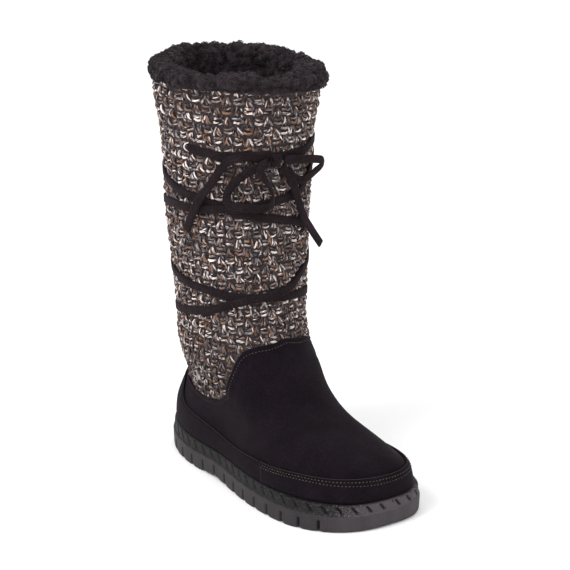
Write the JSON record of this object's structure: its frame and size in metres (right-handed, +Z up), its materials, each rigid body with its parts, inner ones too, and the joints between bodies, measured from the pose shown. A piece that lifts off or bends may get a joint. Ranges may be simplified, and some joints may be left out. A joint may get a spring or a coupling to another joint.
{
  "type": "mid-calf winter boot",
  "caption": "Right winter boot with a rubber cup sole, suede foot, chunky knitted shaft, rolled fleece cuff and a flat lace wrapped round the shaft and tied in a bow.",
  "frame": {"origin": "middle of the bottom of the boot's box, on the floor", "axes": "+Z up the shaft, +Y to the toe, +X to the outer side of the right foot"},
  "size_m": [0.1328, 0.2822, 0.337],
  "materials": {
    "rubber": "matt moulded rubber, slightly rough upper strip",
    "suede": "black suede with a soft nap",
    "knit": "chunky flecked knit in charcoal, cream and rust",
    "fleece": "curly charcoal pile",
    "lace": "flat black suede lace"
  },
  "bodies": {
    "root": {"outsole": "rubber", "insole": "fleece", "vamp": "suede", "shaft": "knit", "band_front": "suede", "band_rear": "suede", "cuff": "fleece", "pull_loop": "lace", "lace_wraps": "lace", "lace_knot": "lace", "lace_loop_left": "lace", "lace_loop_right": "lace", "lace_tail_left": "lace", "lace_tail_right": "lace"}
  },
  "joints": []
}
